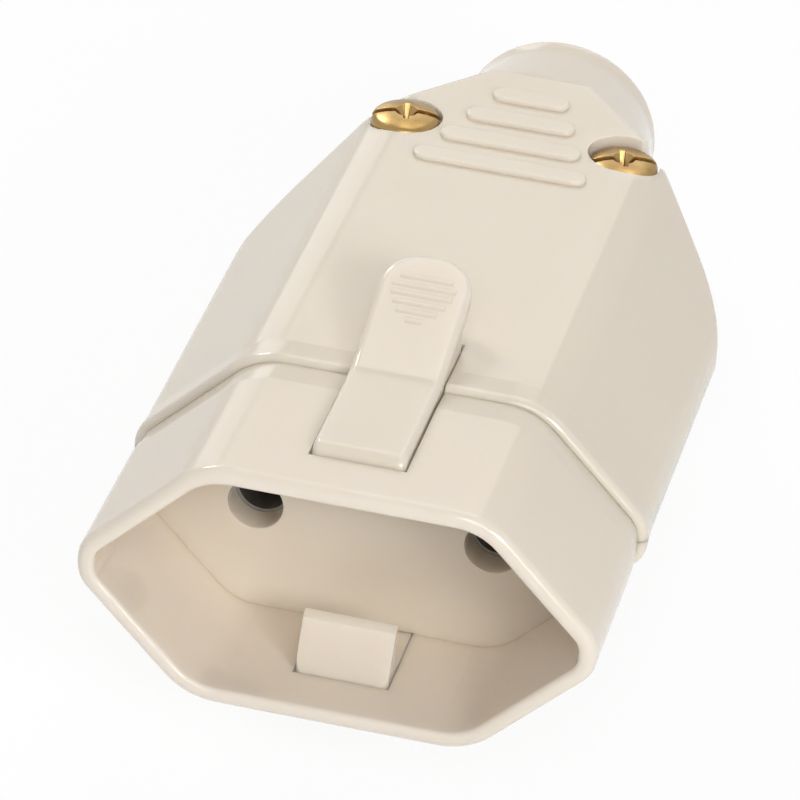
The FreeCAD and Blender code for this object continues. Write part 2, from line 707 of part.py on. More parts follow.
def make_shell(label, is_upper):
    """Half of the rear housing, modelled whole and then cut at Z = 0; the lower half is turned over."""
    body = new_body(label)
    section = new_sketch(body, "section", "XZ_Plane", SEAM)
    add_rounded_outline(section, shell_section(ZERO))
    pad(body, "housing", section, D.plateau_end - SEAM)
    cut_shoulder(body, -1)
    cut_shoulder(body, 1)
    fillet(body, "shoulder_rims", D.shoulder_edge_radius, on_shoulder_rim)
    add_front_flare(body)
    fillet(body, "front_edge", D.shell_edge_radius, lambda e: in_plane(e, "Y", SEAM))
    add_neck(body)
    add_grip_bars(body)
    hollow_out(body)

    notch = new_sketch(body, "latch_notch_outline", "XY_Plane")
    half = D.latch_half_width + D.notch_gap
    add_rectangle(notch, -half, half, SEAM - OVERSHOOT, D.notch_end)
    pocket(body, "latch_notch", notch, D.shell_half_height * 4, both_sides=True)

    cut_screw_holes(body)
    if is_upper:
        cut_counterbores(body)
    else:
        cut_nut_pockets(body)

    half_cut = new_sketch(body, "parting_outline", "XY_Plane")
    wide = D.shell_half_width + OVERSHOOT
    add_rectangle(half_cut, -wide, wide, SEAM - OVERSHOOT, D.neck_end + OVERSHOOT)
    pocket(body, "parting", half_cut, D.shell_half_height * 2, towards_plus=False)
    if not is_upper:
        turned_over(body)
    return body


# Latch levers and their springs

def make_latch(label, is_upper):
    body = new_body(label)
    arm_underside = D.collar_half_height - D.collar_wall
    tip = arm_underside - D.hook_height
    rise = (D.pad_end_height - D.latch_top) / (D.pad_end - D.latch_crease)
    leg_top = D.latch_top + rise * (D.leg_end - D.latch_crease) - D.pad_thickness
    boss_front = D.pivot_place - D.boss_radius
    boss_back = D.pivot_place + D.boss_radius
    side_view = new_sketch(body, "side_view", "YZ_Plane")
    add_polygon(side_view, [
        (-D.latch_front, arm_underside), (-D.hook_tip, tip), (-D.hook_back, tip - D.hook_crown),
        (-D.hook_back, arm_underside), (boss_front - D.boss_radius, arm_underside),
        (boss_front, D.pivot_height), (boss_back, D.pivot_height), (boss_back, D.leg_underside),
        (D.leg_end, D.leg_underside), (D.leg_end, leg_top),
        (D.pad_end, D.pad_end_height - D.pad_thickness), (D.pad_end, D.pad_end_height),
        (D.latch_crease, D.latch_top), (-D.latch_front, D.latch_top),
    ])
    pad(body, "lever", side_view, D.latch_half_width * 2, both_sides=True)
    boss = new_sketch(body, "boss_outline", "YZ_Plane")
    add_circle(boss, (D.pivot_place, D.pivot_height), D.boss_radius)
    pad(body, "boss", boss, D.latch_half_width * 2, both_sides=True)

    def runs_across(edge, place, height):
        box = edge.BoundBox
        return near(box.YMin, place.value) and near(box.ZMax, height.value) and box.XLength > 1.0

    def is_pad_corner(edge):
        box = edge.BoundBox
        return near(box.YMin, D.pad_end.value) and box.XLength < 0.01 and box.ZLength > 0.5

    fillet(body, "crease", D.crease_radius, lambda e: runs_across(e, D.latch_crease, D.latch_top))
    fillet(body, "nose", D.latch_nose_radius, lambda e: runs_across(e, -D.latch_front, D.latch_top))
    fillet(body, "pad_corners", D.pad_corner_radius, is_pad_corner)

    def on_top_rim(edge):
        middle = middle_of(edge)
        past_crease = max(0.0, middle.y - D.latch_crease.value)
        surface = D.latch_top.value + rise.value * past_crease
        return near(middle.z, surface, 0.3) and not runs_across_arm(edge)

    fillet(body, "rim", D.pad_edge_radius, on_top_rim)
    add_pad_ribs(body, rise)

    trunnions = new_sketch(body, "trunnion_outline", "YZ_Plane")
    add_circle(trunnions, (D.pivot_place, D.pivot_height), D.trunnion_radius)
    pad(body, "trunnions", trunnions, (D.latch_half_width + D.trunnion_length) * 2, both_sides=True)
    if not is_upper:
        turned_over(body)
    return body


def runs_across_arm(edge):
    """The lines across the lever where its nose and the hollow at the crease start and end aren't rims."""
    box = edge.BoundBox
    return box.XLength > 1.0 and box.YMax < D.pad_end.value - D.pad_corner_radius.value


def add_pad_ribs(body, rise):
    """Fine ribs across the thumb pad, each a low arch that is sunk in the slope by its root."""
    length = root(as_size(1) + rise * rise)
    along_y = as_size(1) / length
    along_z = rise / length
    half_width = D.rib_width / 2
    radius = (half_width * half_width + D.rib_height * D.rib_height) / (D.rib_height * 2)

    def on_slope(distance, height):
        return (D.latch_crease + along_y * distance - along_z * height,
                D.latch_top + along_z * distance + along_y * height)

    for number, share in enumerate(RIB_SHARES):
        middle = D.rib_first + D.rib_pitch * number
        sketch = new_sketch(body, f"rib_{number + 1}_outline", "YZ_Plane")
        corners = [
            on_slope(middle + half_width, ZERO), on_slope(middle + half_width, -D.rib_root),
            on_slope(middle - half_width, -D.rib_root), on_slope(middle - half_width, ZERO),
        ]
        for line in range(len(corners) - 1):
            sketch.addGeometry(Part.LineSegment(point(corners[line]), point(corners[line + 1])))
            hold(sketch, line, 1, corners[line])
            hold(sketch, line, 2, corners[line + 1])
        top = point(on_slope(middle, D.rib_height))
        add_arc(sketch, len(corners) - 2, 0, corners[-1], corners[0], top, radius)
        pad(body, f"rib_{number + 1}", sketch, D.rib_half_length * (share * 2), both_sides=True)


def make_latch_spring(label, is_upper):
    body = new_body(label)
    wire = new_sketch(body, "wire_section", "XZ_Plane", D.spring_place)
    low = D.spring_seat + D.spring_gap + D.spring_wire_radius
    high = D.leg_underside - D.spring_gap - D.spring_wire_radius
    add_circle(wire, (D.spring_radius, low), D.spring_wire_radius)
    coil = body.newObject("PartDesign::AdditiveHelix", "coil")
    coil.Profile = wire
    coil.ReferenceAxis = (wire, ["V_Axis"])
    coil.Mode = "height-turns-angle"
    coil.setExpression("Height", (high - low).text)
    coil.setExpression("Turns", D.spring_turns.text)
    doc.recompute()
    if not is_upper:
        turned_over(body)
    return body


# Contacts and fasteners

def moved(body, x, y=ZERO):
    body.setExpression("Placement.Base.x", x.text)
    body.setExpression("Placement.Base.y", y.text)
    doc.recompute()


def make_contact(label, side):
    """Brass sleeve for one pin, in one piece with the block that clamps its wire."""
    body = new_body(label)
    half = D.terminal_half
    block = new_sketch(body, "block_outline", "XZ_Plane", D.terminal_start)
    add_rectangle(block, -half, half, -half, half)
    pad(body, "block", block, D.terminal_length)
    front = D.face_wall + D.fit_gap
    sleeve = new_sketch(body, "sleeve_outline", "XZ_Plane", front)
    add_circle(sleeve, (ZERO, ZERO), D.sleeve_radius)
    pad(body, "sleeve", sleeve, D.terminal_start - front)
    bore = new_sketch(body, "bore_outline", "XZ_Plane", front)
    add_circle(bore, (ZERO, ZERO), D.sleeve_bore)
    pocket(body, "bore", bore, D.sleeve_bore_end - front)
    slit = new_sketch(body, "slit_outline", "XY_Plane")
    half_slit = D.slit_width / 2
    add_rectangle(slit, -half_slit, half_slit, front - OVERSHOOT, D.sleeve_bore_end - D.sleeve_radius)
    pocket(body, "slit", slit, D.sleeve_radius + OVERSHOOT, towards_plus=True)
    wire_hole = new_sketch(body, "wire_hole_outline", "XZ_Plane", D.terminal_start + D.terminal_length)
    add_circle(wire_hole, (ZERO, ZERO), D.wire_hole_radius)
    pocket(body, "wire_hole", wire_hole, D.wire_hole_depth, towards_plus=False)
    tapped = new_sketch(body, "tapped_hole_outline", "XY_Plane", half)
    add_circle(tapped, (ZERO, D.terminal_screw_place), D.terminal_screw_radius + D.thread_gap)
    pocket(body, "tapped_hole", tapped, half, towards_plus=False)
    moved(body, D.pin_spacing * (0.5 * side))
    return body


def make_terminal_screw(label, side):
    body = new_body(label)
    seat = D.terminal_half + D.thread_gap
    top = seat + D.terminal_head_height
    profile = new_sketch(body, "profile", "XZ_Plane")
    add_polygon(profile, [
        (ZERO, D.terminal_screw_low), (D.terminal_screw_radius, D.terminal_screw_low),
        (D.terminal_screw_radius, seat), (D.terminal_head_radius, seat), (D.terminal_head_radius, top),
        (ZERO, top),
    ])
    revolve(body, "turned_screw", profile)
    cut_driver_slot(body, D.terminal_head_radius, top, D.terminal_head_height / 2)
    moved(body, D.pin_spacing * (0.5 * side), D.terminal_screw_place)
    return body


def cut_driver_slot(body, reach, top, depth):
    slot = new_sketch(body, "driver_slot_outline", "XY_Plane", top)
    half = D.screw_slot_width / 2
    add_rectangle(slot, -reach - OVERSHOOT, reach + OVERSHOOT, -half, half)
    pocket(body, "driver_slot", slot, depth, towards_plus=False)


def make_housing_screw(label, side):
    """Pan-head machine screw with a slot and a cross recess."""
    body = new_body(label)
    head_top = D.screw_seat + D.screw_head_height
    crown = head_top + D.screw_dome
    shank_end = -(D.shell_half_height - D.nut_inset)
    profile = new_sketch(body, "profile", "XZ_Plane")
    add_polygon(profile, [
        (ZERO, shank_end), (D.screw_shank_radius, shank_end), (D.screw_shank_radius, D.screw_seat),
        (D.screw_head_radius, D.screw_seat), (D.screw_head_radius, head_top),
        (D.screw_head_radius * 0.75, head_top + D.screw_dome * 0.65),
        (D.screw_head_radius * 0.35, crown), (ZERO, crown),
    ])
    revolve(body, "turned_screw", profile)
    cut_driver_slot(body, D.screw_head_radius, crown, D.screw_slot_depth)
    cross = new_sketch(body, "cross_outline", "XY_Plane", crown)
    half = D.screw_slot_width / 2
    add_rectangle(cross, -half, half, -D.screw_cross_reach, D.screw_cross_reach)
    pocket(body, "cross", cross, D.screw_slot_depth, towards_plus=False)
    moved(body, D.screw_spread * side, D.screw_place)
    return body


def make_housing_nut(label, side):
    body = new_body(label)
    low = -(D.shell_half_height - D.nut_inset)
    outline = new_sketch(body, "outline", "XY_Plane", low)
    add_polygon(outline, hexagon(ZERO, ZERO, D.nut_across))
    add_circle(outline, (ZERO, ZERO), D.screw_shank_radius + D.thread_gap)
    pad(body, "nut", outline, D.nut_height)
    moved(body, D.screw_spread * side, D.screw_place)
    return body


def write_parts(bodies):
    """Checks every object of the document, then writes one file for each sub-part."""
    doc.recompute()
    for item in doc.Objects:
        require("Invalid" not in item.State and "Error" not in item.State, f"{item.Label}: {item.State}")
    for body in bodies:
        require(not body.Shape.isNull() and body.Shape.isValid(), f"{body.Label}: no valid shape")
        require(len(body.Shape.Solids) == 1, f"{body.Label}: {len(body.Shape.Solids)} solids")
    os.makedirs("parts", exist_ok=True)
    for body in bodies:
        body.Shape.exportStep(os.path.join("parts", body.Label + ".step"))
        print(body.Label, round(body.Shape.Volume, 1), "mm3")


def main():
    bodies = [make_socket_front()]
    for label, is_upper in (("upper", True), ("lower", False)):
        bodies.append(make_shell(label + "_shell", is_upper))
        bodies.append(make_latch(label + "_latch", is_upper))
        bodies.append(make_latch_spring(label + "_latch_spring", is_upper))
    for label, side in (("left", -1), ("right", 1)):
        bodies.append(make_contact(label + "_contact", side))
        bodies.append(make_terminal_screw(label + "_terminal_screw", side))
        bodies.append(make_housing_screw(label + "_housing_screw", side))
        bodies.append(make_housing_nut(label + "_housing_nut", side))
    write_parts(bodies)


main()
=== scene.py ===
import math

import bpy
from mathutils import Matrix, Vector


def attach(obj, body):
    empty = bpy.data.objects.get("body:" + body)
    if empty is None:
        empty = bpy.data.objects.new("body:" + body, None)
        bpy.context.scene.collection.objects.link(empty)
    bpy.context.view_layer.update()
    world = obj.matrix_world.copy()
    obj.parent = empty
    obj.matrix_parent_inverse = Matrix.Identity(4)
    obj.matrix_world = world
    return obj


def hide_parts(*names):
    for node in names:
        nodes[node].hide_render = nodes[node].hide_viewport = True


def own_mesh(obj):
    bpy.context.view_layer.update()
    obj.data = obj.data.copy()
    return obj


# Inline socket connector: ivory moulded housing, latch levers and yellow screws.
# Metres, in the CAD frame.

MM = 0.001

# Camera, found from the outlines of the mouth, the seam and the neck
CAMERA_AZIMUTH = 11.128
CAMERA_ELEVATION = 31.227
CAMERA_ROLL = 4.689
CAMERA_DISTANCE = 505.6 * MM
CAMERA_TARGET = Vector((-3.091, 22.2, -1.971)) * MM
SENSOR_WIDTH = 36.0
FOCAL_LENGTH = 281.34
NEAREST_SEEN = 10.0 * MM

# Floor and room
FLOOR_SIZE = 6.0
FLOOR_GAP = 0.05 * MM
FLOOR_COLOUR = (0.94, 0.94, 0.94, 1.0)
FLOOR_ROUGHNESS = 0.9
FLOOR_WHITENESS = 0.9
SETTLING_STEPS = 4
WHITE = (1.0, 1.0, 1.0, 1.0)
ROOM_LIGHT = 0.25

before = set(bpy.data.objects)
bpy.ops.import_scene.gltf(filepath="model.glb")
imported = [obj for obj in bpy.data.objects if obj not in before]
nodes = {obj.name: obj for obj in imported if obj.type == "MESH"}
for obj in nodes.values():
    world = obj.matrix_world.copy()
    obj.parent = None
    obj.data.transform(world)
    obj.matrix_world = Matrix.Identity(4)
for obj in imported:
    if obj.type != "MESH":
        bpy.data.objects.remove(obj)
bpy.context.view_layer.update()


# Material groups

NOISE_LOW = 0.3
NOISE_HIGH = 0.7
SOFT_DETAIL = 2.0
FINE_DETAIL = 3.0
RELIEF_STRENGTH = 0.4


def new_group(name, inputs, outputs):
    """A shader node group with named value sockets; returns its tree and its two end nodes."""
    tree = bpy.data.node_groups.new(name, "ShaderNodeTree")
    for label in inputs:
        tree.interface.new_socket(label, in_out="INPUT", socket_type="NodeSocketFloat")
    for label in outputs:
        tree.interface.new_socket(label, in_out="OUTPUT", socket_type="NodeSocketFloat")
    start = tree.nodes.new("NodeGroupInput")
    end = tree.nodes.new("NodeGroupOutput")
    return tree, start, end


def add_noise(tree, start, scale_socket, detail):
    """Noise on Object coordinates, at the scale that the group's input gives."""
    place = tree.nodes.new("ShaderNodeTexCoord")
    noise = tree.nodes.new("ShaderNodeTexNoise")
    noise.inputs["Detail"].default_value = detail
    tree.links.new(place.outputs["Object"], noise.inputs["Vector"])
    tree.links.new(start.outputs[scale_socket], noise.inputs["Scale"])
    return noise.outputs["Fac"]


def add_range(tree, value, low_socket, high_socket):
    """Spreads a noise value between two numbers."""
    spread = tree.nodes.new("ShaderNodeMapRange")
    spread.inputs["From Min"].default_value = NOISE_LOW
    spread.inputs["From Max"].default_value = NOISE_HIGH
    tree.links.new(value, spread.inputs["Value"])
    tree.links.new(low_socket, spread.inputs["To Min"])
    tree.links.new(high_socket, spread.inputs["To Max"])
    return spread.outputs["Result"]


def make_surface_group():
    """Slow tint, uneven gloss and fine relief that every finish here has in its own measure."""
    inputs = ["Tint Scale", "Gloss Scale", "Relief Scale", "Low Gloss", "High Gloss"]
    tree, start, end = new_group("worked_surface", inputs, ["Tint", "Roughness", "Relief"])
    tint = add_noise(tree, start, "Tint Scale", SOFT_DETAIL)
    gloss = add_noise(tree, start, "Gloss Scale", FINE_DETAIL)
    relief = add_noise(tree, start, "Relief Scale", SOFT_DETAIL)
    rough = add_range(tree, gloss, start.outputs["Low Gloss"], start.outputs["High Gloss"])
    tree.links.new(tint, end.inputs["Tint"])
    tree.links.new(rough, end.inputs["Roughness"])
    tree.links.new(relief, end.inputs["Relief"])
    return tree


surface_group = make_surface_group()


def make_finish(name, light, dark, values, relief_depth, metallic=0.0):
    """A material whose colour, gloss and relief come from the shared group."""
    material = bpy.data.materials.new(name)
    material.use_nodes = True
    tree = material.node_tree
    shader = tree.nodes["Principled BSDF"]
    shader.inputs["Metallic"].default_value = metallic
    group = tree.nodes.new("ShaderNodeGroup")
    group.node_tree = surface_group
    for label, value in values.items():
        group.inputs[label].default_value = value
    ramp = tree.nodes.new("ShaderNodeValToRGB")
    ramp.color_ramp.elements[0].position = NOISE_LOW
    ramp.color_ramp.elements[0].color = (*dark, 1.0)
    ramp.color_ramp.elements[1].position = NOISE_HIGH
    ramp.color_ramp.elements[1].color = (*light, 1.0)
    bump = tree.nodes.new("ShaderNodeBump")
    bump.inputs["Strength"].default_value = RELIEF_STRENGTH
    bump.inputs["Distance"].default_value = relief_depth
    tree.links.new(group.outputs["Tint"], ramp.inputs["Fac"])
    tree.links.new(ramp.outputs["Color"], shader.inputs["Base Color"])
    tree.links.new(group.outputs["Roughness"], shader.inputs["Roughness"])
    tree.links.new(group.outputs["Relief"], bump.inputs["Height"])
    tree.links.new(bump.outputs["Normal"], shader.inputs["Normal"])
    return material


def dress(node_names, material):
    """Gives CAD nodes their finish."""
    for name in node_names:
        node = nodes[name]
        node.data.materials.clear()
        node.data.materials.append(material)


# Finishes: light and dark colour, scales and gloss of the surface, depth of its relief

IVORY_RELIEF = 0.004 * MM
METAL_RELIEF = 0.01 * MM
# Light under the ivory's surface: how much of it, and how deep for red, green and blue
IVORY_GLOW = 0.8
IVORY_GLOW_SHARES = (0.65, 0.72, 1.0)
IVORY_GLOW_DEPTH = 2.5 * MM


def make_ivory():
    """Glossy ivory plastic that lets some light in under its surface."""
    surface = {"Tint Scale": 45.0, "Gloss Scale": 140.0, "Relief Scale": 260.0,
               "Low Gloss": 0.09, "High Gloss": 0.14}
    material = make_finish(
        "ivory_plastic", (0.755, 0.669, 0.552), (0.735, 0.649, 0.532), surface, IVORY_RELIEF)
    shader = material.node_tree.nodes["Principled BSDF"]
    shader.inputs["Subsurface Weight"].default_value = IVORY_GLOW
    shader.inputs["Subsurface Radius"].default_value = IVORY_GLOW_SHARES
    shader.inputs["Subsurface Scale"].default_value = IVORY_GLOW_DEPTH
    return material


def make_screw_brass():
    """Yellow plating of the housing screws and nuts."""
    surface = {"Tint Scale": 500.0, "Gloss Scale": 900.0, "Relief Scale": 2500.0,
               "Low Gloss": 0.22, "High Gloss": 0.36}
    return make_finish(
        "screw_brass", (0.41, 0.27, 0.11), (0.28, 0.18, 0.065), surface, METAL_RELIEF, metallic=1.0)


def make_contact_nickel():
    """Dull nickel plating of the contacts."""
    surface = {"Tint Scale": 300.0, "Gloss Scale": 700.0, "Relief Scale": 2000.0,
               "Low Gloss": 0.45, "High Gloss": 0.6}
    return make_finish(
        "contact_nickel", (0.52, 0.49, 0.45), (0.42, 0.395, 0.36), surface, METAL_RELIEF, metallic=1.0)


def make_spring_steel():
    """Plain steel of the springs and the terminal screws."""
    surface = {"Tint Scale": 400.0, "Gloss Scale": 900.0, "Relief Scale": 2500.0,
               "Low Gloss": 0.22, "High Gloss": 0.4}
    return make_finish(
        "spring_steel", (0.60, 0.60, 0.60), (0.48, 0.48, 0.49), surface, METAL_RELIEF, metallic=1.0)


ivory = make_ivory()
screw_brass = make_screw_brass()
contact_nickel = make_contact_nickel()
spring_steel = make_spring_steel()

dress(["socket_front", "upper_shell", "lower_shell", "upper_latch", "lower_latch"], ivory)
dress(["left_housing_nut", "right_housing_nut"], screw_brass)
dress(["left_contact", "right_contact"], contact_nickel)
dress(["left_terminal_screw", "right_terminal_screw"], spring_steel)


# Ways of working on a mesh

FACES_SQUARELY = 0.9
SLIVER = 0.003 * MM


def pick(piece):
    """Makes the piece the only one selected, and active."""
    bpy.ops.object.select_all(action="DESELECT")
    piece.select_set(True)
    bpy.context.view_layer.objects.active = piece


def clear_choice(kind):
    """Leaves nothing of the active piece selected, ready to choose faces or edges."""
    bpy.ops.object.mode_set(mode="EDIT")
    bpy.ops.mesh.select_mode(type=kind)
    bpy.ops.mesh.select_all(action="DESELECT")
    bpy.ops.object.mode_set(mode="OBJECT")


def choose_faces(piece, wanted):
    """Goes to edit mode with the faces selected whose normal wanted(normal) accepts."""
    clear_choice("FACE")
    for face in piece.data.polygons:
        face.select = wanted(face.normal)
    bpy.ops.object.mode_set(mode="EDIT")


def choose_edges(piece, wanted):
    """Goes to edit mode with the edges selected whose two ends wanted(end, end) accepts."""
    clear_choice("EDGE")
    corners = piece.data.vertices
    for edge in piece.data.edges:
        edge.select = wanted(corners[edge.vertices[0]].co, corners[edge.vertices[1]].co)
    bpy.ops.object.mode_set(mode="EDIT")


def faces_up(normal):
    return normal.z > FACES_SQUARELY


def faces_down(normal):
    return normal.z < -FACES_SQUARELY


def add_block(size, middle):
    """A block of that size with its place in its mesh."""
    bpy.ops.object.select_all(action="DESELECT")
    bpy.ops.mesh.primitive_cube_add(size=1.0, location=middle)
    block = bpy.context.object
    block.scale = size
    bpy.ops.object.transform_apply(location=True, rotation=True, scale=True)
    return block


def cut_away(piece, cutter):
    """Takes the cutter's shape out of the piece and removes the cutter."""
    pick(piece)
    cut = piece.modifiers.new("cut", "BOOLEAN")
    cut.operation = "DIFFERENCE"
    cut.object = cutter
    bpy.ops.object.modifier_apply(modifier=cut.name)
    bpy.data.objects.remove(cutter, do_unlink=True)


def clear_slivers():
    """Merges points and faces that a cut leaves too thin, on the active piece."""
    bpy.ops.object.mode_set(mode="EDIT")
    bpy.ops.mesh.select_all(action="SELECT")
    bpy.ops.mesh.remove_doubles(threshold=SLIVER)
    bpy.ops.mesh.dissolve_degenerate(threshold=SLIVER)
    bpy.ops.object.mode_set(mode="OBJECT")


def copy_piece(model, name):
    """A copy of the model with its own mesh, picked."""
    piece = model.copy()
    piece.data = model.data.copy()
    piece.name = name
    bpy.context.scene.collection.objects.link(piece)
    pick(piece)
    return piece


def seat_piece(piece, turn, place, material):
    """Turns the picked piece, moves its mesh to its place and gives it its finish."""
    piece.rotation_euler = turn
    piece.location = place
    bpy.ops.object.transform_apply(location=True, rotation=True, scale=True)
    piece.data.materials.clear()
    piece.data.materials.append(material)


# Housing screws: pan head with a driver slot and a cross recess, and a shank down to the nut

SCREW_SPREAD = 9.3 * MM
SCREW_PLACE = 46.5 * MM
SCREW_SEAT = 8.3 * MM
HEAD_RADIUS = 2.9 * MM
HEAD_HEIGHT = 1.35 * MM
HEAD_SIDES = 72
HEAD_STEPS = ((0.6 * MM, 0.25 * MM), (0.6 * MM, 0.16 * MM), (0.6 * MM, 0.09 * MM))
HEAD_EDGE = 0.4 * MM
HEAD_EDGE_STEPS = 5
RIM_INSIDE = HEAD_RADIUS * 0.99
RIM_CLOSE = 0.01 * MM
SHANK_RADIUS = 1.45 * MM
SHANK_END = -10.15 * MM
SHANK_POINT = 0.35 * MM
SHANK_POINT_SHARE = 0.8
CUT_ABOVE = 1.0 * MM
SLOT_LENGTH = HEAD_RADIUS * 2.4
SLOT_WIDTH = 0.62 * MM
SLOT_DEPTH = 0.8 * MM
CROSS_REACH = 1.75 * MM
CROSS_WIDTH = SLOT_WIDTH * 1.05
CROSS_DEPTH = 1.4 * MM
CROSS_TAPER = 0.45
PIT_RADIUS = 0.95 * MM
PIT_BOTTOM = 0.3 * MM
PIT_DEPTH = 1.25 * MM
PIT_SIDES = 40
WORN_EDGE = 0.06 * MM
WORN_EDGE_STEPS = 2
SHARP_EDGE = math.radians(35.0)
SLOT_TURNS = {"left": math.radians(10.0), "right": math.radians(18.0)}
HEAD_LIFTS = {"left": 0.85 * MM, "right": 0.0}
HEAD_ROOT = 0.2 * MM
HEAD_TOP = SCREW_SEAT + HEAD_HEIGHT
CROWN = HEAD_TOP + sum(lift for _, lift in HEAD_STEPS)


def on_rim(*ends):
    """Whether an edge lies on the upper rim of the plain head."""
    return all(abs(end.z - HEAD_TOP) < RIM_CLOSE and end.xy.length > RIM_INSIDE for end in ends)


def model_blank():
    """A screw with a domed head and a shank, before its recess is cut."""
    bpy.ops.object.select_all(action="DESELECT")
    bpy.ops.mesh.primitive_cylinder_add(
        vertices=HEAD_SIDES, radius=HEAD_RADIUS, depth=HEAD_HEIGHT,
        location=(0.0, 0.0, SCREW_SEAT + HEAD_HEIGHT / 2))
    screw = bpy.context.object
    bpy.ops.object.transform_apply(location=True, rotation=True, scale=True)

    choose_faces(screw, faces_up)
    for inwards, lift in HEAD_STEPS:
        bpy.ops.mesh.inset(thickness=inwards)
        bpy.ops.transform.translate(value=(0.0, 0.0, lift))
    bpy.ops.object.mode_set(mode="OBJECT")

    choose_edges(screw, on_rim)
    bpy.ops.mesh.bevel(offset=HEAD_EDGE, segments=HEAD_EDGE_STEPS, affect="EDGES")
    bpy.ops.object.mode_set(mode="OBJECT")

    choose_faces(screw, faces_down)
    bpy.ops.mesh.inset(thickness=HEAD_RADIUS - SHANK_RADIUS)
    bpy.ops.mesh.extrude_region_move(
        TRANSFORM_OT_translate={"value": (0.0, 0.0, SHANK_END + SHANK_POINT - SCREW_SEAT)})
    bpy.ops.mesh.extrude_region_move(TRANSFORM_OT_translate={"value": (0.0, 0.0, -SHANK_POINT)})
    bpy.ops.transform.resize(value=(SHANK_POINT_SHARE, SHANK_POINT_SHARE, 1.0))
    bpy.ops.object.mode_set(mode="OBJECT")
    return screw


def add_slot_cutter():
    """The driver slot, right across the head."""
    height = SLOT_DEPTH + CUT_ABOVE
    return add_block((SLOT_LENGTH, SLOT_WIDTH, height), (0.0, 0.0, CROWN - SLOT_DEPTH + height / 2))


def add_arm_cutter(length, width):
    """One arm of the cross recess, narrower at its bottom."""
    height = CROSS_DEPTH + CUT_ABOVE
    arm = add_block((length, width, height), (0.0, 0.0, CROWN - CROSS_DEPTH + height / 2))
    choose_faces(arm, faces_down)
    bpy.ops.transform.resize(value=(CROSS_TAPER, CROSS_TAPER, 1.0))
    bpy.ops.object.mode_set(mode="OBJECT")
    return arm


def add_pit_cutter():
    """The cone in the middle of the cross recess."""
    bpy.ops.object.select_all(action="DESELECT")
    bpy.ops.mesh.primitive_cone_add(
        vertices=PIT_SIDES, radius1=PIT_BOTTOM, radius2=PIT_RADIUS, depth=PIT_DEPTH,
        location=(0.0, 0.0, CROWN - PIT_DEPTH / 2))
    pit = bpy.context.object
    bpy.ops.object.transform_apply(location=True, rotation=True, scale=True)
    choose_faces(pit, faces_up)
    bpy.ops.mesh.extrude_region_move(TRANSFORM_OT_translate={"value": (0.0, 0.0, CUT_ABOVE)})
    bpy.ops.object.mode_set(mode="OBJECT")
    return pit


def model_screw():
    """One screw on the Z axis, at its own height, with its recess and worn edges."""
    screw = model_blank()
    cut_away(screw, add_slot_cutter())
    cut_away(screw, add_arm_cutter(CROSS_WIDTH, CROSS_REACH * 2))
    cut_away(screw, add_arm_cutter(CROSS_REACH * 2, CROSS_WIDTH))
    cut_away(screw, add_pit_cutter())
    clear_slivers()

    rounding = screw.modifiers.new("worn_edges", "BEVEL")
    rounding.width = WORN_EDGE
    rounding.segments = WORN_EDGE_STEPS
    rounding.limit_method = "ANGLE"
    rounding.angle_limit = SHARP_EDGE
    bpy.ops.object.modifier_apply(modifier=rounding.name)
    clear_slivers()
    bpy.ops.object.shade_smooth_by_angle(angle=SHARP_EDGE)
    return screw


def thicken_head(screw, lift):
    """Lifts the upper part of the head, so that it stands higher on its seat."""
    choose_edges(screw, lambda first, second: min(first.z, second.z) > SCREW_SEAT + HEAD_ROOT)
    bpy.ops.transform.translate(value=(0.0, 0.0, lift))
    bpy.ops.object.mode_set(mode="OBJECT")


def fit_screws():
    """Both housing screws in their seats, each with its own slot direction."""
    model = model_screw()
    for side, sign in (("left", -1.0), ("right", 1.0)):
        screw = copy_piece(model, side + "_pan_screw")
        thicken_head(screw, HEAD_LIFTS[side])
        place = (SCREW_SPREAD * sign, SCREW_PLACE, 0.0)
        seat_piece(screw, (0.0, 0.0, SLOT_TURNS[side]), place, screw_brass)
        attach(screw, "housing")
        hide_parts(side + "_housing_screw")
    bpy.data.objects.remove(model, do_unlink=True)


fit_screws()


# Lever springs: open coils in their seats

SPRING_PLACE = 9.3 * MM
SPRING_SEAT = 2.6 * MM
SPRING_LOW = 3.05 * MM
SPRING_HIGH = 8.45 * MM
SPRING_COILS = 5
SPRING_RADIUS = 1.0 * MM
SPRING_STEPS = 32
WIRE_RADIUS = 0.2 * MM
WIRE_SIDES = 12
WIRE_JOIN = 0.001 * MM
WIRE_EDGE = math.radians(50.0)


def model_spring():
    """One coil round the Z axis, with flat wire ends."""
    bpy.ops.object.select_all(action="DESELECT")
    bpy.ops.mesh.primitive_circle_add(
        vertices=WIRE_SIDES, radius=WIRE_RADIUS, location=(SPRING_RADIUS, 0.0, SPRING_LOW),
        rotation=(math.pi / 2, 0.0, 0.0))
    spring = bpy.context.object
    bpy.ops.object.transform_apply(location=True, rotation=True, scale=True)
    coil = spring.modifiers.new("coil", "SCREW")
    coil.axis = "Z"
    coil.screw_offset = (SPRING_HIGH - SPRING_LOW) / SPRING_COILS
    coil.iterations = SPRING_COILS
    coil.steps = SPRING_STEPS
    coil.render_steps = SPRING_STEPS
    bpy.ops.object.modifier_apply(modifier=coil.name)
    bpy.ops.object.mode_set(mode="EDIT")
    bpy.ops.mesh.select_all(action="SELECT")
    bpy.ops.mesh.remove_doubles(threshold=WIRE_JOIN)
    bpy.ops.mesh.fill_holes(sides=0)
    bpy.ops.mesh.normals_make_consistent(inside=False)
    bpy.ops.object.mode_set(mode="OBJECT")
    bpy.ops.object.shade_smooth_by_angle(angle=WIRE_EDGE)
    return spring


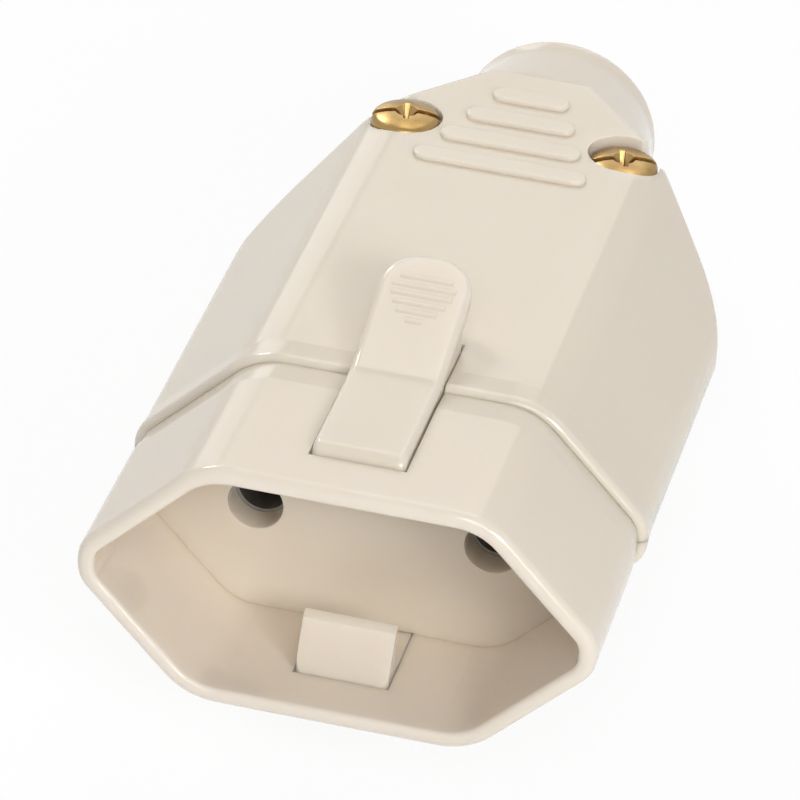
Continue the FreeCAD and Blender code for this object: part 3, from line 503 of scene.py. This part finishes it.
def fit_springs():
    """A coil between each lever and its seat in the housing; the lower one is turned upside down."""
    model = model_spring()
    for side, turn, seat in (("upper", 0.0, SPRING_SEAT), ("lower", math.pi, -SPRING_SEAT)):
        spring = copy_piece(model, side + "_lever_coil")
        seat_piece(spring, (0.0, turn, 0.0), (0.0, SPRING_PLACE, 0.0), spring_steel)
        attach(spring, "housing")
        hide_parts(side + "_latch_spring")
        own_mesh(spring)
    bpy.data.objects.remove(model, do_unlink=True)


fit_springs()


# Floor, light and camera

def lowest_point(name, downwards):
    """The point of a node that lies furthest in that direction."""
    places = [vertex.co for vertex in nodes[name].data.vertices]
    return max(places, key=lambda place: place.dot(downwards)).copy()


def resting_line():
    """Where the lower thumb pad and the lower shell touch a flat floor, and the floor's slope."""
    slope = 0.0
    for _ in range(SETTLING_STEPS):
        downwards = Vector((0.0, math.sin(slope), -math.cos(slope)))
        pad_end = lowest_point("lower_latch", downwards)
        rear_bar = lowest_point("lower_shell", downwards)
        slope = math.atan2(rear_bar.z - pad_end.z, rear_bar.y - pad_end.y)
    return pad_end, slope


def seen_by_eye_or_mirror(tree, share):
    """A value of share for camera, glossy and transmission rays, and 0 for the rest."""
    path = tree.nodes.new("ShaderNodeLightPath")
    camera_or_glossy = tree.nodes.new("ShaderNodeMath")
    camera_or_glossy.operation = "MAXIMUM"
    tree.links.new(path.outputs["Is Camera Ray"], camera_or_glossy.inputs[0])
    tree.links.new(path.outputs["Is Glossy Ray"], camera_or_glossy.inputs[1])
    any_of_them = tree.nodes.new("ShaderNodeMath")
    any_of_them.operation = "MAXIMUM"
    tree.links.new(camera_or_glossy.outputs[0], any_of_them.inputs[0])
    tree.links.new(path.outputs["Is Transmission Ray"], any_of_them.inputs[1])
    scaled = tree.nodes.new("ShaderNodeMath")
    scaled.operation = "MULTIPLY"
    scaled.inputs[1].default_value = share
    tree.links.new(any_of_them.outputs[0], scaled.inputs[0])
    return scaled.outputs[0]


def make_floor_finish():
    """White to the eye, with a faint shadow, and clear from below."""
    material = bpy.data.materials.new("pale_floor")
    material.use_nodes = True
    tree = material.node_tree
    shader = tree.nodes["Principled BSDF"]
    shader.inputs["Base Color"].default_value = FLOOR_COLOUR
    shader.inputs["Roughness"].default_value = FLOOR_ROUGHNESS
    shader.inputs["Specular IOR Level"].default_value = 0.0
    white = tree.nodes.new("ShaderNodeEmission")
    mix = tree.nodes.new("ShaderNodeMixShader")
    tree.links.new(seen_by_eye_or_mirror(tree, FLOOR_WHITENESS), mix.inputs["Fac"])
    tree.links.new(shader.outputs["BSDF"], mix.inputs[1])
    tree.links.new(white.outputs["Emission"], mix.inputs[2])
    clear = tree.nodes.new("ShaderNodeBsdfTransparent")
    side = tree.nodes.new("ShaderNodeNewGeometry")
    one_sided = tree.nodes.new("ShaderNodeMixShader")
    tree.links.new(side.outputs["Backfacing"], one_sided.inputs["Fac"])
    tree.links.new(mix.outputs["Shader"], one_sided.inputs[1])
    tree.links.new(clear.outputs["BSDF"], one_sided.inputs[2])
    tree.links.new(one_sided.outputs["Shader"], tree.nodes["Material Output"].inputs["Surface"])
    return material


def make_floor():
    """A floor at the slope at which the connector comes to rest."""
    pad_end, slope = resting_line()
    bpy.ops.object.select_all(action="DESELECT")
    bpy.ops.mesh.primitive_plane_add(size=FLOOR_SIZE)
    floor = bpy.context.object
    floor.name = "floor"
    floor.rotation_euler = (slope, 0.0, 0.0)
    floor.location = pad_end - Vector((0.0, 0.0, FLOOR_GAP))
    floor.data.materials.append(make_floor_finish())


def make_room():
    """An even dim light from all round; the background itself is white."""
    world = bpy.data.worlds.new("studio")
    bpy.context.scene.world = world
    world.use_nodes = True
    tree = world.node_tree
    room = tree.nodes["Background"]
    room.inputs["Color"].default_value = WHITE
    room.inputs["Strength"].default_value = ROOM_LIGHT
    white = tree.nodes.new("ShaderNodeBackground")
    white.inputs["Color"].default_value = WHITE
    mix = tree.nodes.new("ShaderNodeMixShader")
    tree.links.new(seen_by_eye_or_mirror(tree, 1.0), mix.inputs["Fac"])
    tree.links.new(room.outputs["Background"], mix.inputs[1])
    tree.links.new(white.outputs["Background"], mix.inputs[2])
    tree.links.new(mix.outputs["Shader"], tree.nodes["World Output"].inputs["Surface"])


def add_area_light(name, place, target, size, power, colour):
    """A rectangular lamp that points at the target."""
    data = bpy.data.lights.new(name, "AREA")
    data.shape = "RECTANGLE"
    data.size = size[0]
    data.size_y = size[1]
    data.energy = power
    data.color = colour
    light = bpy.data.objects.new(name, data)
    bpy.context.scene.collection.objects.link(light)
    light.location = place
    light.rotation_euler = (Vector(target) - Vector(place)).to_track_quat("-Z", "Y").to_euler()


def add_lamps():
    """Cool lamps in front, warm ones behind and above."""
    middle = (0.0, 0.02, 0.0)
    box = (0.35, 0.35)
    warm = (1.0, 0.985, 0.945)
    cool = (0.925, 0.955, 1.0)
    add_area_light("front_softbox", (0.11, -0.601, 0.493), middle, box, 1.92, cool)
    add_area_light("right_lamp", (0.466, -0.535, 0.338), middle, (0.28, 0.22), 2.91, cool)
    add_area_light("left_softbox", (-0.376, -0.631, 0.274), middle, box, 0.18, cool)
    add_area_light("rear_left_lamp", (-0.433, 0.453, 0.514), middle, (0.18, 0.18), 1.8, warm)
    add_area_light("rear_left_softbox", (-0.384, 0.692, 0.192), middle, (0.3, 0.3), 0.3, warm)
    add_area_light("rear_panel", (-0.13, 0.66, 0.47), middle, (0.6, 0.26), 0.43, warm)
    add_area_light("overhead_softbox", (0.0, 0.358, 0.725), middle, box, 0.83, warm)


def add_camera():
    """The camera at the photograph's place and turn."""
    azimuth = math.radians(CAMERA_AZIMUTH)
    elevation = math.radians(CAMERA_ELEVATION)
    roll = math.radians(CAMERA_ROLL)
    back = Vector((math.sin(azimuth) * math.cos(elevation), -math.cos(azimuth) * math.cos(elevation),
                   math.sin(elevation)))
    level_right = Vector((math.cos(azimuth), math.sin(azimuth), 0.0))
    level_up = back.cross(level_right)
    right = level_right * math.cos(roll) + level_up * math.sin(roll)
    up = level_up * math.cos(roll) - level_right * math.sin(roll)
    data = bpy.data.cameras.new("camera")
    data.sensor_width = SENSOR_WIDTH
    data.lens = FOCAL_LENGTH
    data.clip_start = NEAREST_SEEN
    camera = bpy.data.objects.new("camera", data)
    bpy.context.scene.collection.objects.link(camera)
    turn = Matrix((right, up, back)).transposed().to_4x4()
    camera.matrix_world = Matrix.Translation(CAMERA_TARGET + back * CAMERA_DISTANCE) @ turn
    bpy.context.scene.camera = camera


make_floor()
make_room()
add_lamps()
add_camera()
bpy.context.scene.view_settings.view_transform = "Standard"
